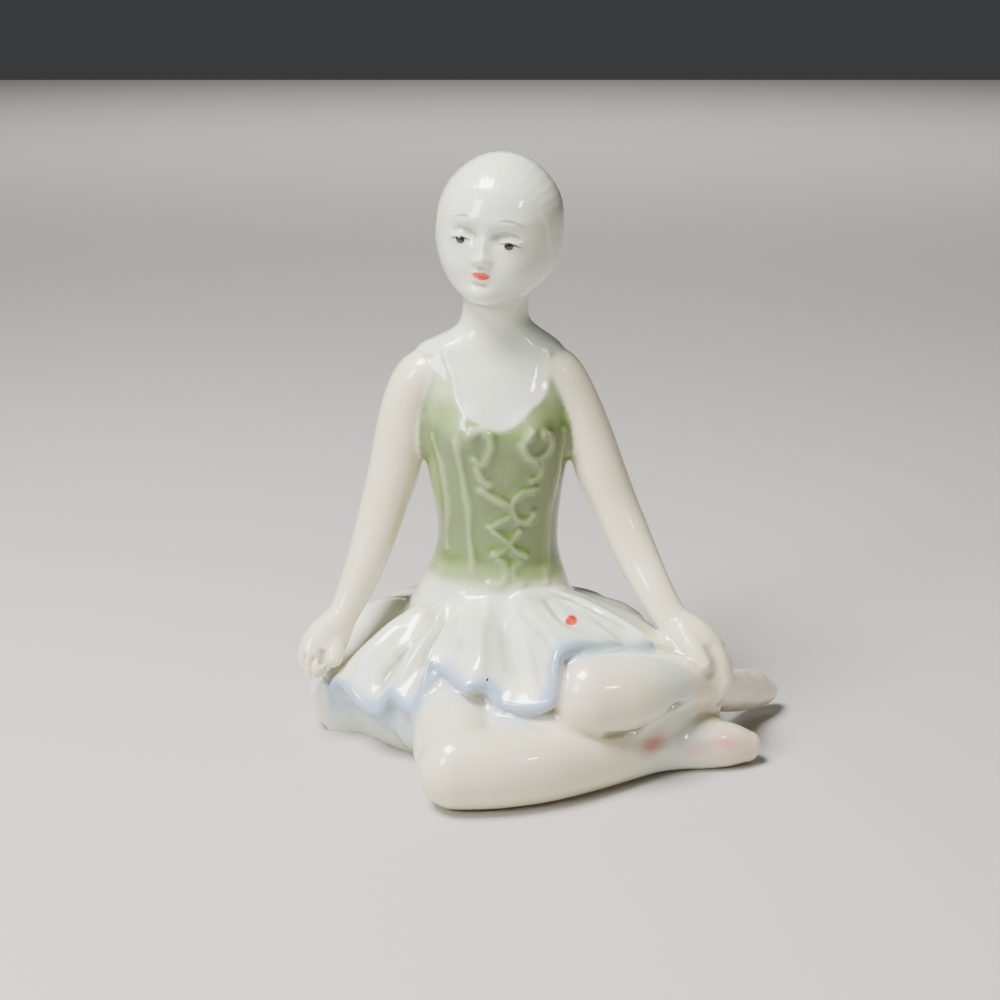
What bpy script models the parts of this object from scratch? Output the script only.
"""Seated ballerina figurine, slip-cast in porcelain as one piece.

The dancer sits on the ground with both legs folded to her left, the left leg lying on the right
shin, her hands resting on the skirt and on the ankle. Limbs, torso, head and skirt are lofted as
closed forms and run together in one skin, softened as glaze softens an edge, then the face, the
fingers and the bodice trimming are raised on it and the underside is cut flat.
"""

import math

import bmesh
import bpy
import numpy as np
from mathutils import Matrix, Vector
from mathutils.bvhtree import BVHTree

# Driving dimensions, in metres
FIGURE_HEIGHT = 0.120
HEM_LIP = 0.0027
SEAM_HEIGHT = 0.0004
SEAM_WIDTH = 0.00085
SCROLL_HEIGHT = 0.00058
SCROLL_WIDTH = 0.001
FINGER_GROOVE_DEPTH = 0.00070
FINGER_GROOVE_WIDTH = 0.00065
NECKLINE_HEIGHT = 0.0002

# The pose and the proportions are shares of the height: one share is a 120th of it.
SHARES = 120
SHARE = FIGURE_HEIGHT / SHARES

# How far the forms reach below the ground before the underside is cut, in shares
GROUND_CUT = -2.5

# How finely the cast is made, how many triangles the finished solid keeps, and how much more of
# them the carved places get: in full where the relief reaches DETAIL_FULL
CAST_VOXEL = 0.0006
SOFTENING_PASSES = 5
# How wide a hollow the glaze fills, in passes of averaging, and how much of it
FILLING_PASSES = 15
FILLING_SHARE = 0.85
# The share of a fold's or hollow's path over which its ends fade
FOLD_TAPER = 0.3
HOLLOW_TAPER = 0.2
SOLID_TRIANGLES = 9700
DETAIL_FULL = 0.0004
DETAIL_STEPS = 8
DETAIL_CARE = 0.01

# Glazed porcelain
PORCELAIN_COLOUR = (0.70, 0.69, 0.61, 1.0)
PORCELAIN_ROUGHNESS = 0.12

BACK = Vector((0, 1, 0))
UP = Vector((0, 0, 1))

# Torso and neck, bottom to top: x, y, z, half width, half depth
TORSO = [
    (-1.0, 7.0, 12.0, 18.0, 15.0),
    (-1.6, 7.0, 22.0, 18.4, 14.0),
    (-1.5, 7.0, 27.0, 17.4, 12.8),
    (-1.0, 6.9, 32.5, 15.0, 11.2),
    (-0.6, 6.7, 38.5, 12.9, 9.8),
    (-0.4, 6.5, 44.5, 12.5, 9.2),
    (-0.7, 6.0, 51.5, 13.5, 9.4),
    (-0.7, 5.6, 58.0, 14.4, 9.8),
    (-0.8, 5.4, 65.0, 14.8, 9.8),
    (-1.3, 5.8, 71.0, 15.0, 9.0),
    (-1.9, 6.4, 76.0, 15.6, 7.8),
    (-2.0, 6.8, 79.6, 15.5, 6.8),
    (-1.8, 6.8, 81.8, 14.2, 6.3),
    (-1.1, 6.8, 83.4, 11.6, 6.0),
    (-0.7, 6.8, 84.9, 9.0, 5.9),
    (-0.9, 6.8, 86.6, 7.2, 5.9),
    (-0.9, 6.7, 89.4, 6.6, 6.0),
    (-0.4, 6.6, 95.0, 6.6, 6.4),
]

# Arms, shoulder to wrist: x, y, z, radius
RIGHT_ARM = [
    (-11.6, 6.6, 76.6, 5.0),
    (-15.8, 6.6, 75.0, 5.4),
    (-18.6, 6.6, 70.0, 5.2),
    (-20.2, 6.8, 63.0, 5.4),
    (-21.7, 6.8, 55.7, 5.3),
    (-24.0, 6.4, 48.0, 4.9),
    (-26.1, 5.0, 41.2, 4.5),
    (-28.4, 3.0, 34.9, 4.0),
    (-31.1, 1.0, 28.9, 3.4),
    (-32.8, -0.6, 25.8, 3.1),
]
LEFT_ARM = [
    (7.4, 6.6, 77.0, 5.0),
    (11.4, 6.6, 75.8, 5.2),
    (15.0, 6.6, 70.4, 4.9),
    (18.2, 6.6, 62.6, 5.0),
    (20.7, 6.0, 55.2, 5.2),
    (23.6, 5.0, 48.4, 4.9),
    (26.3, 3.0, 42.5, 4.7),
    (29.0, 0.0, 37.2, 4.3),
    (31.6, -3.8, 32.8, 3.8),
    (34.4, -6.8, 28.7, 3.4),
    (36.4, -8.4, 26.8, 3.4),
]

# The flesh that joins each arm to the side of the chest
RIGHT_ARMPIT = [
    (-14.6, 6.6, 68.0, 3.0, 5.0),
    (-15.2, 6.6, 62.0, 2.5, 4.6),
    (-15.5, 6.6, 59.6, 1.2, 3.6),
]
LEFT_ARMPIT = [
    (12.6, 6.6, 68.0, 3.0, 5.0),
    (13.6, 6.6, 62.0, 2.5, 4.6),
    (14.1, 6.5, 59.8, 1.2, 3.6),
]

# Hands: the stations of the palm and closed fingers, then of the thumb
RIGHT_HAND = [
    (-32.8, -0.8, 25.8, 3.3, 3.1),
    (-35.2, -2.2, 22.6, 4.4, 3.1),
    (-37.2, -3.6, 19.8, 4.5, 3.1),
    (-38.3, -4.8, 18.2, 3.5, 2.8),
    (-38.0, -6.0, 16.8, 2.4, 2.2),
]
RIGHT_THUMB = [
    (-34.2, -2.8, 22.8, 1.9),
    (-33.7, -4.6, 20.6, 1.9),
    (-34.0, -6.0, 18.8, 1.8),
]
LEFT_HAND = [
    (36.2, -8.2, 26.9, 3.5, 3.6),
    (39.4, -9.8, 25.8, 3.9, 3.2),
    (42.0, -11.0, 23.4, 3.8, 3.0),
    (43.8, -12.0, 20.4, 3.2, 2.8),
    (44.2, -12.6, 17.2, 2.8, 2.5),
    (43.2, -12.8, 14.4, 2.4, 2.2),
    (41.6, -12.8, 12.2, 2.0, 2.0),
    (40.0, -12.6, 10.4, 1.8, 1.8),
]
LEFT_THUMB = [
    (36.4, -10.4, 27.2, 2.3),
    (38.2, -12.8, 25.2, 2.2),
    (39.6, -14.6, 23.2, 2.0),
    (40.6, -15.6, 21.8, 1.7),
]
# The palm's rest on the calf
PALM_REST = [
    (34.0, -9.6, 23.6, 2.8),
    (38.4, -11.6, 22.0, 3.0),
    (41.6, -12.8, 19.8, 3.0),
    (42.4, -13.0, 16.8, 2.6),
]
# Grooves between the fingers, laid on the nearest skin: x, y, z
FINGER_GROOVES = [
    [(-39.6, -6.2, 20.4), (-40.6, -7.0, 17.8), (-40.0, -7.6, 15.0)],
    [(-37.6, -7.0, 20.2), (-38.6, -7.8, 17.6), (-38.4, -8.4, 14.4)],
    [(43.4, -8.6, 24.2), (46.2, -9.8, 20.8), (47.4, -10.8, 17.0)],
    [(43.6, -11.2, 24.4), (46.6, -12.6, 20.8), (47.4, -13.4, 16.6)],
]
# Hollows beside the index finger and the thumb, and under the calf: path, width, depth
HOLLOWS = [
    ([(-36.0, -6.4, 21.4), (-36.3, -7.2, 19.4), (-36.2, -7.4, 17.4)], 0.8, 0.7),
    ([(40.4, -13.0, 25.0), (42.0, -14.6, 21.8), (42.6, -15.0, 18.0)], 1.7, 0.35),
    ([(18.8, -29.4, 12.8), (23.2, -27.0, 11.7), (27.2, -25.3, 12.1), (31.0, -24.5, 13.7),
      (34.1, -23.7, 16.1), (37.3, -21.0, 16.4)], 0.7, 1.2),
]

# Legs, hip to toe: x, y, z, half breadth, half height
RIGHT_THIGH = [
    (-8.0, 6.0, 11.0, 10.0, 9.5),
    (-8.8, -8.0, 11.0, 9.6, 10.0),
    (-9.0, -20.0, 9.8, 8.8, 9.6),
    (-8.7, -28.0, 8.5, 8.0, 8.6),
    (-8.3, -33.0, 7.8, 6.9, 7.4),
]
RIGHT_SHIN = [
    (-8.4, -33.8, 7.8, 7.2, 7.8),
    (-1.0, -33.2, 7.6, 7.0, 7.8),
    (8.0, -30.8, 7.2, 6.5, 7.5),
    (17.0, -26.6, 6.5, 5.7, 6.8),
    (25.0, -22.4, 5.7, 4.6, 5.8),
    (31.0, -19.8, 5.2, 3.7, 4.9),
    (36.0, -18.0, 4.9, 3.5, 4.8),
    (41.0, -16.8, 4.9, 3.9, 5.2),
    (46.0, -16.0, 4.4, 3.9, 4.6),
    (50.0, -15.2, 3.6, 2.7, 3.3),
]
LEFT_THIGH = [
    (8.0, 6.0, 16.5, 10.0, 9.0),
    (12.0, -8.0, 17.6, 9.0, 8.6),
    (15.4, -17.0, 18.4, 8.2, 8.0),
    (17.2, -21.6, 18.6, 6.8, 6.8),
]
LEFT_SHIN = [
    (17.6, -23.8, 18.8, 8.0, 8.4),
    (24.0, -21.6, 18.6, 7.9, 8.2),
    (30.0, -18.4, 17.9, 7.1, 7.1),
    (36.0, -14.4, 16.7, 5.8, 5.9),
    (41.6, -10.0, 14.5, 4.5, 4.9),
    (46.4, -4.4, 11.2, 3.6, 4.6),
    (50.4, 2.4, 8.2, 3.5, 4.6),
    (54.0, 6.8, 6.6, 3.6, 4.4),
    (57.0, 9.4, 5.0, 2.8, 3.3),
    (58.4, 10.6, 4.4, 2.0, 2.3),
]
# The lap between the thighs, under the front of the skirt
LAP = [
    (1.0, 2.0, 10.0, 13.0, 10.0),
    (0.6, -10.0, 9.6, 12.0, 10.4),
    (1.0, -19.0, 8.8, 12.0, 9.8),
    (1.8, -26.0, 7.8, 11.6, 8.6),
    (2.0, -30.0, 7.8, 9.6, 7.6),
]
# Porcelain that fills the lap below the skirt's hem and beside the upper knee
LAP_MIDDLE = [
    (3.0, -24.0, 11.0, 6.0, 5.6),
    (9.0, -26.0, 11.6, 5.2, 5.2),
    (13.5, -27.0, 11.2, 4.2, 4.6),
]
LAP_EDGE = [
    (-16.8, -9.0, 3.0, 3.6),
    (-17.4, -12.2, 7.0, 4.0),
    (-17.6, -13.2, 11.0, 4.0),
    (-13.6, -14.8, 15.6, 4.2),
    (-7.0, -20.4, 15.8, 4.2),
    (1.0, -23.0, 12.6, 4.2),
    (8.0, -24.6, 13.8, 4.2),
]
KNEE_TOP = [
    (10.6, -22.4, 21.0, 4.2),
    (13.2, -21.6, 23.6, 4.0),
    (18.0, -19.6, 24.0, 4.0),
]
# The web of porcelain that closes the hollow between the two lower legs
LEG_WEB = [
    (15.0, -23.6, 10.2, 6.2, 6.6),
    (25.0, -19.6, 10.2, 5.6, 6.4),
    (33.0, -16.4, 9.4, 4.6, 5.8),
    (39.4, -13.8, 8.4, 3.4, 4.8),
    (42.6, -12.2, 7.8, 2.4, 3.6),
]

# The front panel's hem, from her right side round to her left ankle, wave by wave: x, y, z
PANEL_HEM = [
    (-35.2, -3.6, 11.0),
    (-34.9, -5.0, 13.6),
    (-33.2, -7.2, 15.4),
    (-30.7, -10.2, 14.2),
    (-27.7, -13.0, 11.9),
    (-25.3, -14.8, 12.1),
    (-24.0, -15.8, 14.3),
    (-21.9, -16.8, 16.6),
    (-19.8, -19.0, 15.5),
    (-17.9, -20.6, 14.9),
    (-16.9, -21.0, 16.1),
    (-15.7, -20.0, 20.0),
    (-14.5, -18.8, 23.0),
    (-13.0, -18.4, 23.5),
    (-10.5, -20.8, 22.6),
    (-8.3, -24.4, 21.9),
    (-6.5, -26.0, 21.9),
    (-3.9, -25.8, 22.2),
    (-1.7, -25.4, 21.2),
    (0.6, -27.2, 18.9),
    (3.3, -28.6, 18.8),
    (7.4, -29.6, 19.4),
    (9.0, -29.4, 20.9),
    (9.7, -28.0, 26.0),
    (11.3, -25.8, 29.0),
    (15.4, -23.0, 29.4),
    (19.4, -20.8, 28.2),
    (23.0, -18.6, 27.6),
    (26.0, -17.4, 26.0),
    (29.7, -15.4, 26.4),
    (33.0, -12.6, 24.8),
    (37.4, -8.4, 22.4),
    (39.4, -3.6, 19.2),
]
# The rim of the deeper layer where it is widest, clockwise from her right hand: x, y
SKIRT_RIM = [
    (-40.0, -0.6),
    (-40.6, 6.0),
    (-38.0, 15.0),
    (-31.6, 23.0),
    (-21.0, 29.0),
    (-8.0, 31.4),
    (6.0, 31.0),
    (19.0, 28.0),
    (29.6, 21.6),
    (36.0, 13.0),
    (38.6, 4.0),
    (36.4, -5.0),
    (28.0, -11.0),
    (14.0, -15.0),
    (-4.0, -15.0),
    (-17.0, -9.6),
    (-29.0, -2.8),
    (-36.8, -1.0),
]
# Levels of the deeper layer from the waist out to the rim and in under it: share of the way out
# and height, where it puffs up at the back, then where it falls at the side
SKIRT_LEVELS = [
    (0.1, 25.6, 0.1, 24.6),
    (0.22, 25.4, 0.22, 21.6),
    (0.36, 25.4, 0.36, 19.0),
    (0.5, 24.8, 0.5, 17.0),
    (0.62, 23.6, 0.62, 15.6),
    (0.74, 21.4, 0.74, 14.4),
    (0.84, 18.0, 0.84, 13.2),
    (0.92, 14.6, 0.92, 12.0),
    (0.97, 11.3, 0.97, 10.4),
    (1.0, 8.0, 0.99, 8.2),
    (1.005, 5.6, 0.975, 5.6),
    (1.0, 4.0, 0.95, 3.8),
    (0.99, 3.2, 0.935, 3.0),
    (0.965, 2.7, 0.915, 2.2),
    (0.925, 2.6, 0.89, 1.4),
    (0.89, 1.4, 0.86, 0.4),
    (0.88, GROUND_CUT, 0.84, GROUND_CUT),
]
BACK_PLEATS = 10
BACK_PLEAT_REACH = 1.5
BACK_PLEAT_RISE = 0.9
PLEAT_DRIFT = 5
# Where the pleats of the deeper layer begin and end, and where it puffs up, in degrees
PLEATS_FROM, PLEATS_TO = -28, 190
PUFF_FROM, PUFF_TO = -40, 194
PUFF_FADE, PLEAT_FADE = 34, 20

WAIST_CENTRE = (-1.2, 6.8)
WAIST_HALF_WIDTH = 13.4
WAIST_HALF_DEPTH = 10.2
WAIST_LEVEL = 29.6
WAIST_FRONT_RISE = 2.4
WAIST_SIDE_RISE = 1.2
SKIRT_COLUMNS = 264
PANEL_COLUMNS = 300
PANEL_ROWS = 12
PANEL_PUFF = 1.3
PANEL_WALL_INSET = 1.9
PANEL_WALL_DROP = 4.2
PANEL_END_DROP = 1.5
PANEL_SHELF_INSET = 5.0
PANEL_SHELF_DROP = 6.6
PANEL_BASE_INSET = 8.8
FOLD_REACH = 26
FOLD_FADE = 0.55
# Valleys pressed between the folds of the panel, and ridges raised on it, waist to hem: path,
# width, how deep or high
VALLEYS = [
    ([(-12.1, -4.9, 28.5), (-14.4, -6.5, 26.6), (-17.2, -7.5, 23.6), (-20.0, -8.2, 20.0),
      (-22.8, -9.7, 17.3), (-25.2, -13.6, 13.1)], 1.2, 1.3),
    ([(-9.9, -3.7, 29.7), (-11.5, -7.4, 27.5), (-13.1, -10.0, 25.5), (-14.4, -12.3, 23.6),
      (-16.3, -16.5, 19.5)], 1.2, 1.1),
    ([(-7.7, -8.1, 29.9), (-7.9, -15.0, 26.6), (-8.4, -19.3, 24.6)], 1.5, 0.5),
    ([(0.3, -7.9, 30.1), (0.8, -13.9, 27.1), (2.0, -20.2, 23.9), (3.0, -26.0, 20.5)], 1.8, 0.9),
    ([(6.8, -18.4, 29.7), (8.7, -23.8, 28.0), (9.2, -26.6, 26.3)], 1.2, 0.8),
    ([(9.1, -6.0, 32.3), (11.8, -14.8, 31.8), (15.2, -19.6, 30.1)], 1.2, 0.8),
    ([(13.0, -2.1, 31.8), (18.7, -7.6, 30.3), (23.8, -11.1, 28.9), (27.7, -14.9, 27.0)],
     1.0, 0.8),
]
RIDGES = [
    ([(-18.6, -0.6, 27.0), (-23.6, -3.8, 23.2), (-28.7, -6.0, 19.0), (-31.7, -7.3, 16.5)],
     2.2, 0.6),
    ([(-11.2, -6.0, 28.2), (-15.3, -10.7, 24.0), (-18.4, -14.2, 20.3), (-20.7, -16.9, 17.1)],
     1.2, 0.8),
    ([(-4.7, -10.3, 29.9), (-4.1, -16.0, 27.9), (-3.7, -21.5, 24.9), (-3.5, -24.4, 22.9)],
     1.3, 0.7),
    ([(3.2, -6.4, 31.4), (5.7, -13.9, 31.3), (8.9, -21.5, 30.7), (11.5, -24.4, 29.6)], 1.2, 0.7),
    ([(11.3, -4.4, 32.0), (18.0, -9.9, 30.1), (22.6, -12.7, 28.5), (25.2, -13.7, 27.8)],
     1.2, 0.6),
]

# The head, in shares of the height in its own frame: face to -Y, up to +Z, origin mid-skull
HEAD_CENTRE = (-0.2, 5.4, 105.6)
HEAD_YAW = math.radians(-14)
HEAD_ROLL = math.radians(6)
HEAD_PITCH = math.radians(3)
# Levels of the head, chin to crown: height, half width, front, back
HEAD_LEVELS = [
    (-14.0, 2.6, -9.0, -1.4),
    (-13.2, 5.2, -10.2, 3.4),
    (-11.8, 7.6, -10.9, 7.6),
    (-9.6, 9.9, -11.1, 10.8),
    (-6.8, 11.5, -11.3, 12.4),
    (-3.6, 12.3, -11.5, 13.2),
    (0.0, 12.4, -11.6, 13.4),
    (3.6, 12.2, -11.4, 13.7),
    (7.0, 11.0, -10.4, 12.6),
    (10.0, 8.8, -8.2, 10.2),
    (12.3, 6.1, -5.4, 7.2),
    (13.6, 3.4, -2.8, 4.2),
    (14.1, 1.2, -0.8, 1.8),
]
BUN_CENTRE = (0, 12.6, -2.0)
BUN_RADII = (5.6, 3.6, 4.9)
# Features of a plain doll's face: x, z, spread across, spread up, how far it stands out
FACE_FEATURES = [
    (0.0, -4.5, 1.3, 1.05, 1.45),
    (0.0, -2.4, 0.95, 2.1, 0.75),
    (-1.35, -5.0, 0.7, 0.62, 0.42),
    (1.35, -5.0, 0.7, 0.62, 0.42),
    (0.0, -6.3, 0.45, 0.6, -0.18),
    (-0.7, -7.15, 0.95, 0.42, 0.42),
    (0.7, -7.15, 0.95, 0.42, 0.42),
    (0.0, -7.8, 2.1, 0.2, -0.22),
    (0.0, -8.4, 1.25, 0.48, 0.55),
    (0.0, -9.7, 1.9, 0.6, -0.4),
    (0.0, -11.5, 2.8, 1.6, 0.7),
    (-5.6, -6.2, 3.0, 2.7, 0.6),
    (5.6, -6.2, 3.0, 2.7, 0.6),
    (-3.4, -0.4, 2.4, 1.8, -1.15),
    (3.4, -0.4, 2.4, 1.8, -1.15),
    (-4.9, -1.1, 2.0, 1.15, 0.85),
    (4.9, -1.1, 2.0, 1.15, 0.85),
    (-4.6, 2.4, 3.2, 1.2, 0.4),
    (4.6, 2.4, 3.2, 1.2, 0.4),
]
# Soft swellings of the torso, told in the same way
TORSO_FEATURES = [
    (-7.6, 65.6, 5.4, 5.4, 1.9),
    (6.2, 65.6, 5.4, 5.4, 1.9),
    (-0.8, 79.5, 2.4, 1.8, -0.5),
    (-7.4, 81.0, 5.0, 1.2, 0.35),
    (5.2, 81.0, 5.0, 1.2, 0.35),
]

# Trimming of the bodice, laid on its front: x, z
SEAMS = [
    [(-13.4, 64.2), (-11.9, 59.5), (-11.2, 54.9), (-10.5, 49.0), (-10.6, 40.8)],
    [(-8.3, 64.5), (-7.2, 55.4), (-6.4, 49.5), (-6.1, 43.4), (-5.4, 37.2)],
    [(12.8, 65.3), (12.0, 59.1), (11.0, 53.8), (9.7, 48.1), (9.4, 42.8), (9.6, 34.0)],
]
NECKLINE = [(-10.8, 80.8), (-10.1, 79.0), (-9.0, 76.4), (-8.6, 73.0), (-7.6, 70.8), (-6.0, 69.4),
            (-2.8, 67.3), (0.0, 66.7), (3.0, 68.0), (5.9, 70.6), (8.2, 72.2), (9.5, 74.4), (9.9, 77.4),
            (9.8, 79.4), (9.5, 81.0)]
SCROLLS = [
    [(-5.5, 66.0), (-3.5, 66.6), (-2.0, 65.0), (-1.8, 62.9), (-2.6, 61.1), (-3.8, 59.6),
     (-4.7, 60.7)],
    [(-4.4, 58.9), (-3.6, 56.4), (-2.4, 55.4)],
    [(5.7, 66.0), (4.3, 63.7), (5.3, 61.5), (7.3, 60.7), (9.1, 61.9), (9.5, 63.9), (8.5, 65.2)],
    [(5.8, 61.1), (7.4, 59.3), (7.6, 57.2), (6.4, 56.0)],
    [(-3.6, 54.2), (-1.8, 52.9), (0.8, 51.5), (2.2, 50.6)],
    [(6.8, 54.1), (4.4, 53.5), (2.6, 51.4), (2.6, 49.1), (3.8, 47.4), (5.8, 47.4), (6.6, 48.5)],
    [(1.8, 48.4), (0.0, 47.3), (-1.8, 46.1)],
    [(-1.2, 45.2), (0.8, 43.5), (1.8, 42.4), (0.0, 40.7), (-1.0, 40.3)],
    [(3.8, 45.0), (2.6, 43.5), (2.2, 42.2), (3.2, 40.7), (4.9, 39.6)],
    [(-0.2, 39.3), (1.2, 37.8), (1.6, 35.8), (0.2, 34.3), (-1.8, 34.3)],
    [(3.9, 38.6), (2.8, 37.1), (3.1, 35.4), (4.5, 34.1)],
]


def at(x, y, z):
    """A point given in shares of the height, in metres."""
    return Vector((x, y, z)) * SHARE


def ease(low, high, value):
    """0 below low, 1 above high, smooth between; low may be above high."""
    t = np.clip((value - low) / (high - low), 0, 1)
    return t * t * (3 - 2 * t)


def between(low, high, fade, value):
    """1 between low and high, falling smoothly to 0 at both."""
    return ease(low, low + fade, value) * ease(high, high - fade, value)


def smooth_rows(rows, steps, closed=False):
    """Rows of numbers on a Catmull-Rom curve through the given rows."""
    table = np.array(rows, float)
    count = len(table)
    found = []
    for span in range(count if closed else count - 1):
        picks = [span - 1, span, span + 1, span + 2]
        picks = [k % count if closed else min(max(k, 0), count - 1) for k in picks]
        before, start, end, after = table[picks]
        for step in range(steps):
            t = step / steps
            found.append(
                0.5
                * (
                    2 * start
                    + (end - before) * t
                    + (2 * before - 5 * start + 4 * end - after) * t**2
                    + (3 * start - before - 3 * end + after) * t**3
                )
            )
    if not closed:
        found.append(table[-1])
    return np.array(found)


def even_rows(rows, count, closed=False):
    """The curve through the rows at evenly spaced places."""
    line = smooth_rows(rows, 24, closed)
    if closed:
        line = np.vstack([line, line[:1]])
    run = np.concatenate([[0], np.cumsum(np.linalg.norm(np.diff(line, axis=0), axis=1))])
    places = np.linspace(0, run[-1], count, endpoint=not closed)
    return np.stack([np.interp(places, run, line[:, axis]) for axis in range(line.shape[1])], 1)


def skin(bm, rings):
    """Skins a run of closed rings of points, in shares, and closes both ends."""
    loops = []
    for points in rings:
        made = bmesh.ops.create_circle(bm, segments=len(points), radius=1)["verts"]
        for vert, place in zip(made, points):
            vert.co = at(*place)
        loops.append(list({edge for vert in made for edge in vert.link_edges}))
    for lower, upper in zip(loops, loops[1:]):
        bmesh.ops.bridge_loops(bm, edges=lower + upper)
    for end in (loops[0], loops[-1]):
        bmesh.ops.contextual_create(bm, geom=end)


def add_loft(bm, stations, hint=UP, steps=4, sides=36, upright=False):
    """A limb with rounded ends, through stations of x, y, z, half breadth and half height.

    The half height is measured along the hint, the half breadth across it. The sections of an
    upright loft stay level.
    """
    rows = smooth_rows([row if len(row) == 5 else (*row, row[3]) for row in stations], steps)
    turns = np.linspace(0, 2 * math.pi, sides, endpoint=False)
    rings = []
    for index, row in enumerate(rows):
        centre = row[:3]
        ahead, behind = rows[min(index + 1, len(rows) - 1)], rows[max(index - 1, 0)]
        along = UP if upright else Vector(ahead[:3] - behind[:3]).normalized()
        across = hint.cross(along).normalized()
        rise = along.cross(across).normalized()
        circle = np.outer(np.cos(turns) * row[3], across) + np.outer(np.sin(turns) * row[4], rise)
        rounding = []
        if index in (0, len(rows) - 1):
            way = -1 if index == 0 else 1
            for degrees in (12, 24, 36, 48, 60, 72, 84):
                turn = math.radians(degrees)
                reach = way * min(row[3:5]) * math.sin(turn)
                rounding.append(centre + np.array(along) * reach + circle * math.cos(turn))
        if index == 0:
            rings.extend(reversed(rounding))
        rings.append(centre + circle)
        if index == len(rows) - 1:
            rings.extend(rounding)
    skin(bm, rings)


def head_frame():
    """The matrix from the head's own frame to the figure's, both in shares."""
    turn = Matrix.Rotation(HEAD_YAW, 4, "Z")
    tilt = Matrix.Rotation(HEAD_ROLL, 4, "Y") @ Matrix.Rotation(HEAD_PITCH, 4, "X")
    return Matrix.Translation(HEAD_CENTRE) @ turn @ tilt


def add_head(bm):
    """The skull and jaw, and the low bun behind."""
    frame = head_frame()
    turns = np.linspace(0, 2 * math.pi, 56, endpoint=False)
    rings = []
    for level, half, front, back in smooth_rows(HEAD_LEVELS, 4):
        middle = (front + back) / 2
        depth = (back - front) / 2
        ring = [(half * math.cos(t), middle + depth * math.sin(t), level) for t in turns]
        rings.append([frame @ Vector(place) for place in ring])
    skin(bm, rings)
    size = Matrix.Diagonal((SHARE, SHARE, SHARE, 1))
    bun = size @ frame @ Matrix.Translation(BUN_CENTRE) @ Matrix.Diagonal((*BUN_RADII, 1))
    bmesh.ops.create_uvsphere(bm, u_segments=28, v_segments=18, radius=1, matrix=bun)


def running_mean(values, reach):
    """Each value averaged with its neighbours up to a reach away."""
    window = np.ones(2 * reach + 1) / (2 * reach + 1)
    return np.convolve(np.pad(values, reach, mode="edge"), window, mode="valid")


def unit(rows):
    """Each row as a direction of length 1."""
    return rows / np.linalg.norm(rows, axis=1, keepdims=True)


def waist_points(angle):
    """The points of the waist at the given angles round its centre."""
    return np.stack(
        [
            WAIST_CENTRE[0] + WAIST_HALF_WIDTH * np.cos(angle),
            WAIST_CENTRE[1] + WAIST_HALF_DEPTH * np.sin(angle),
            WAIST_LEVEL - WAIST_FRONT_RISE * np.sin(angle) + WAIST_SIDE_RISE * np.cos(angle),
        ],
        1,
    )


def angles_of(points):
    """The angle of each point round the centre of the waist."""
    return np.unwrap(np.arctan2(points[:, 1] - WAIST_CENTRE[1], points[:, 0] - WAIST_CENTRE[0]))


def add_deeper_layer(bm):
    """The skirt's deeper layer: puffed at the back, falling at the side, tucked to the ground."""
    rim = even_rows([(x, y, 0) for x, y in SKIRT_RIM], SKIRT_COLUMNS, closed=True)
    angle = angles_of(rim)
    waist = waist_points(angle)
    degrees = (np.degrees(angle) + 90) % 360 - 90
    puff = between(PUFF_FROM, PUFF_TO, PUFF_FADE, degrees)
    pleated = between(PLEATS_FROM, PLEATS_TO, PLEAT_FADE, degrees)
    drift = PLEAT_DRIFT * np.sin(np.radians(degrees * 3.3))
    turns = np.radians(degrees + drift - PLEATS_FROM) * 180 / (PLEATS_TO - PLEATS_FROM)
    wave = (1.6 * np.abs(np.cos(turns * BACK_PLEATS)) ** 0.8 - 1) * pleated
    outward = np.stack([np.cos(angle), np.sin(angle), np.zeros_like(angle)], 1)

    rings = [waist]
    for back_share, back_height, side_share, side_height in SKIRT_LEVELS:
        share = puff * back_share + (1 - puff) * side_share
        level = waist + (rim - waist) * share[:, None]
        level += outward * (wave * BACK_PLEAT_REACH * ease(0.05, 1.0, share))[:, None]
        level[:, 2] = puff * back_height + (1 - puff) * side_height
        level[:, 2] += (waist[:, 2] - waist[:, 2].min()) * ease(0.5, 0.0, share)
        level[:, 2] += wave * BACK_PLEAT_RISE * (back_height > 0)
        rings.append(level)
    skin(bm, rings)


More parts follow.
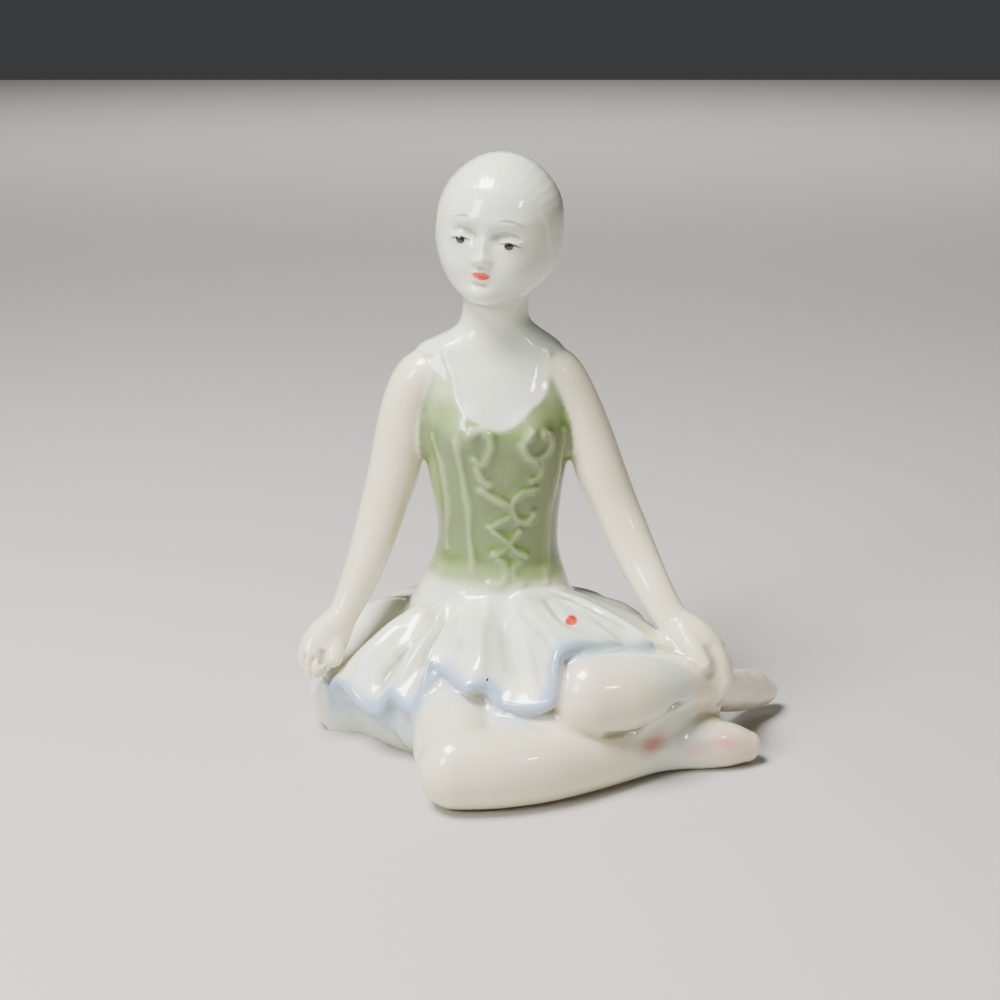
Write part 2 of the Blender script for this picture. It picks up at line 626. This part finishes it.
def add_front_panel(bm):
    """The skirt's front panel, which lies over the deeper layer and the legs in waves.

    The waves of the hem fade towards the waist more slowly than the panel narrows, so that the
    folds run all the way up.
    """
    hem = even_rows(PANEL_HEM, PANEL_COLUMNS)
    angle = running_mean(np.maximum.accumulate(angles_of(hem)), 12)
    calm = np.stack([running_mean(hem[:, axis], FOLD_REACH) for axis in range(3)], 1)
    waves = hem - calm
    waist = waist_points(angle)
    outward = np.stack([np.cos(angle), np.sin(angle), np.zeros_like(angle)], 1)
    lip = HEM_LIP / SHARE
    profile = []
    for row in range(PANEL_ROWS + 1):
        share = row / PANEL_ROWS
        level = waist + (calm - waist) * share + waves * share**FOLD_FADE
        level[:, 2] += PANEL_PUFF * math.sin(math.pi * share)
        profile.append(level)
    along = unit(np.gradient(hem, axis=0))
    down = unit(hem - profile[-3])
    off = unit(np.cross(along, down))
    off *= np.sign(off @ [0, -0.5, 0.8])[:, None]
    for forward, under in ((0.42, 0.30), (0.40, 0.80), (-0.20, 1.15)):
        profile.append(hem + down * lip * forward - off * lip * under)
    near_end = ease(0.12, 0.02, np.linspace(0, 1, len(hem)))
    drop = np.outer(PANEL_END_DROP * near_end, [0, 0, 1])
    profile.append(hem - outward * PANEL_WALL_INSET - [0, 0, PANEL_WALL_DROP] - drop)
    profile.append(hem - outward * PANEL_SHELF_INSET - [0, 0, PANEL_SHELF_DROP] - drop)
    for inset in (PANEL_BASE_INSET, 0):
        foot = (hem if inset else waist * [0.5, 0.5, 1]) - outward * inset
        foot[:, 2] = GROUND_CUT
        profile.append(foot)
    profile.append(waist * [0.5, 0.5, 1])
    rings = [[level[column] for level in profile] for column in range(PANEL_COLUMNS)]
    skin(bm, rings)


def model_form(bm):
    """All the closed forms of the figure, overlapping where they join."""
    add_loft(bm, TORSO, hint=BACK, sides=48, upright=True)
    for arm in (RIGHT_ARM, LEFT_ARM, RIGHT_ARMPIT, LEFT_ARMPIT, RIGHT_HAND, RIGHT_THUMB, LEFT_THUMB):
        add_loft(bm, arm, hint=BACK)
    for limb in (LEFT_HAND, PALM_REST, RIGHT_THIGH, RIGHT_SHIN, LEFT_THIGH, LEFT_SHIN):
        add_loft(bm, limb)
    for filling in (LAP, LAP_MIDDLE, LAP_EDGE, KNEE_TOP, LEG_WEB):
        add_loft(bm, filling)
    add_head(bm)
    add_deeper_layer(bm)
    add_front_panel(bm)


def cast_object(name, bm):
    """The object of a finished bmesh, in the scene."""
    bmesh.ops.recalc_face_normals(bm, faces=bm.faces)
    mesh = bpy.data.meshes.new(name)
    bm.to_mesh(mesh)
    bm.free()
    obj = bpy.data.objects.new(name, mesh)
    bpy.context.scene.collection.objects.link(obj)
    return obj


def settle_modifiers(obj):
    """Makes the modifiers of an object its mesh."""
    graph = bpy.context.evaluated_depsgraph_get()
    made = bpy.data.meshes.new_from_object(obj.evaluated_get(graph), depsgraph=graph)
    obj.modifiers.clear()
    old = obj.data
    obj.data = made
    bpy.data.meshes.remove(old)


def run_together(obj):
    """Joins the overlapping forms into one skin and softens it as glaze does."""
    remesh = obj.modifiers.new("Cast", "REMESH")
    remesh.mode = "VOXEL"
    remesh.voxel_size = CAST_VOXEL
    soften = obj.modifiers.new("Glaze", "SMOOTH")
    soften.factor = 0.5
    soften.iterations = SOFTENING_PASSES
    settle_modifiers(obj)


def vectors_of(mesh, what):
    """The co or normal of every vertex, as rows."""
    flat = np.empty(3 * len(mesh.vertices))
    mesh.vertices.foreach_get(what, flat)
    return flat.reshape(-1, 3)


def fill_hollows(obj):
    """Rounds the inner corners, as slip and glaze do, and leaves the raised forms."""
    mesh = obj.data
    places, normals = vectors_of(mesh, "co"), vectors_of(mesh, "normal")
    ends = np.empty(2 * len(mesh.edges), int)
    mesh.edges.foreach_get("vertices", ends)
    first, second = ends.reshape(-1, 2).T
    count = len(places)
    share = np.bincount(first, minlength=count) + np.bincount(second, minlength=count)
    calm = places.copy()
    for _ in range(FILLING_PASSES):
        moved = np.empty_like(calm)
        for axis in range(3):
            column = calm[:, axis]
            total = np.bincount(first, column[second], count)
            total += np.bincount(second, column[first], count)
            moved[:, axis] = total / share
        calm = 0.5 * calm + 0.5 * moved
    hollow = np.maximum(np.einsum("ij,ij->i", calm - places, normals), 0)
    filled = places + normals * hollow[:, None] * FILLING_SHARE
    mesh.vertices.foreach_set("co", filled.ravel())
    mesh.update()


def swelling(points, frame, features):
    """How far each point stands out, in shares, for soft features told in front view."""
    inverse = np.array(frame.inverted())
    local = points @ inverse[:3, :3].T + inverse[:3, 3]
    total = np.zeros(len(points))
    for x, z, across, upward, height in features:
        reach = ((local[:, 0] - x) / across) ** 2 + ((local[:, 2] - z) / upward) ** 2
        total += height * np.exp(-reach)
    return total * ease(0.0, -4.0, local[:, 1])


def laid_path(tree, path):
    """A path laid on the skin: from the front if it gives x and z, else at the nearest place."""
    line = even_rows(path, 8 * len(path))
    found = []
    for row in line:
        if len(row) == 2:
            hit = tree.ray_cast(Vector((row[0], -60, row[1])), BACK)[0]
        else:
            hit = tree.find_nearest(Vector(row))[0]
        if hit is not None:
            found.append(hit)
    return np.array(found)


def ridge(points, tree, path, width, height, taper=0):
    """How far each point stands out, in metres, for a rounded bead along a path.

    The taper is the share of the path over which each end of the bead fades.
    """
    line = laid_path(tree, path)
    reach = 3 * width / SHARE
    inside = np.all((points > line.min(0) - reach) & (points < line.max(0) + reach), axis=1)
    near = points[inside]
    nearest = np.full(len(near), np.inf)
    run = np.zeros(len(near))
    for index, (start, end) in enumerate(zip(line, line[1:])):
        span = end - start
        share = np.clip((near - start) @ span / max(span @ span, 1e-12), 0, 1)
        apart = np.linalg.norm(near - start - share[:, None] * span, axis=1)
        closer = apart < nearest
        nearest[closer] = apart[closer]
        run[closer] = (index + share[closer]) / (len(line) - 1)
    rise = height * np.exp(-((nearest * SHARE / width) ** 2))
    if taper:
        rise *= ease(0, taper, run) * ease(1, 1 - taper, run)
    total = np.zeros(len(points))
    total[inside] = rise
    return total


def carve(obj):
    """Raises the face, the trimming and the folds, and sinks the valleys and the grooves."""
    mesh = obj.data
    places, normals = vectors_of(mesh, "co"), vectors_of(mesh, "normal")
    points = places / SHARE
    triangles = [tuple(face.vertices) for face in mesh.polygons]
    tree = BVHTree.FromPolygons(points.tolist(), triangles)
    upright = Matrix.Identity(4)
    out = swelling(points, head_frame(), FACE_FEATURES) * SHARE
    out += swelling(points, upright, TORSO_FEATURES) * SHARE
    trims = ridge(points, tree, NECKLINE, SEAM_WIDTH, NECKLINE_HEIGHT)
    for path in SEAMS:
        trims = np.maximum(trims, ridge(points, tree, path, SEAM_WIDTH, SEAM_HEIGHT))
    for path in SCROLLS:
        trims = np.maximum(trims, ridge(points, tree, path, SCROLL_WIDTH, SCROLL_HEIGHT))
    grooves = np.zeros(len(points))
    for path in FINGER_GROOVES:
        groove = ridge(points, tree, path, FINGER_GROOVE_WIDTH, FINGER_GROOVE_DEPTH)
        grooves = np.maximum(grooves, groove)
    out += trims - grooves
    detail = np.clip(np.abs(out) / DETAIL_FULL, 0, 1)
    for path, width, depth in VALLEYS:
        out -= ridge(points, tree, path, width * SHARE, depth * SHARE, FOLD_TAPER)
    for path, width, height in RIDGES:
        out += ridge(points, tree, path, width * SHARE, height * SHARE, FOLD_TAPER)
    for path, width, depth in HOLLOWS:
        out -= ridge(points, tree, path, width * SHARE, depth * SHARE, HOLLOW_TAPER)
    mesh.vertices.foreach_set("co", (places + normals * out[:, None]).ravel())
    mesh.update()
    group = obj.vertex_groups.new(name="Detail")
    for step in range(1, DETAIL_STEPS + 1):
        chosen = np.flatnonzero(np.ceil(detail * DETAIL_STEPS) == step)
        group.add(chosen.tolist(), step / DETAIL_STEPS, "REPLACE")


def keep_outer_skin(bm):
    """Drops the skins of the hollows that the overlapping forms close in."""
    left = set(bm.verts)
    skins = []
    while left:
        front = [left.pop()]
        found = list(front)
        while front:
            vert = front.pop()
            for edge in vert.link_edges:
                other = edge.other_vert(vert)
                if other in left:
                    left.remove(other)
                    front.append(other)
                    found.append(other)
        skins.append(found)
    outer = max(skins, key=len)
    inner = [vert for found in skins if found is not outer for vert in found]
    bmesh.ops.delete(bm, geom=inner, context="VERTS")


def cut_underside(obj):
    """Cuts the figure flat at the ground and stands it on the middle of its bounding box."""
    bm = bmesh.new()
    bm.from_mesh(obj.data)
    whole = bm.verts[:] + bm.edges[:] + bm.faces[:]
    cut = bmesh.ops.bisect_plane(
        bm, geom=whole, dist=1e-7, plane_co=(0, 0, 0), plane_no=UP, clear_inner=True
    )
    rims = [item for item in cut["geom_cut"] if isinstance(item, bmesh.types.BMEdge)]
    bmesh.ops.holes_fill(bm, edges=rims)
    bmesh.ops.triangulate(bm, faces=bm.faces)
    keep_outer_skin(bm)
    low = [min(vert.co[axis] for vert in bm.verts) for axis in range(3)]
    high = [max(vert.co[axis] for vert in bm.verts) for axis in range(3)]
    size = FIGURE_HEIGHT / (high[2] - low[2])
    middle = Vector(((low[0] + high[0]) / 2, (low[1] + high[1]) / 2, low[2]))
    for vert in bm.verts:
        vert.co = (vert.co - middle) * size
    bmesh.ops.recalc_face_normals(bm, faces=bm.faces)
    bm.to_mesh(obj.data)
    bm.free()


def glazed():
    """The material of glazed porcelain."""
    material = bpy.data.materials.new("glazed_porcelain")
    material.use_nodes = True
    shader = material.node_tree.nodes["Principled BSDF"]
    shader.inputs["Base Color"].default_value = PORCELAIN_COLOUR
    shader.inputs["Roughness"].default_value = PORCELAIN_ROUGHNESS
    return material


def main():
    for obj in list(bpy.data.objects):
        bpy.data.objects.remove(obj)
    bm = bmesh.new()
    model_form(bm)
    figurine = cast_object("figurine", bm)
    run_together(figurine)
    fill_hollows(figurine)
    carve(figurine)
    thin = figurine.modifiers.new("Facets", "DECIMATE")
    thin.ratio = SOLID_TRIANGLES / (2 * len(figurine.data.polygons))
    thin.vertex_group = "Detail"
    thin.invert_vertex_group = True
    thin.vertex_group_factor = DETAIL_CARE
    settle_modifiers(figurine)
    cut_underside(figurine)
    figurine.data.shade_smooth()
    figurine.data.materials.append(glazed())


main()
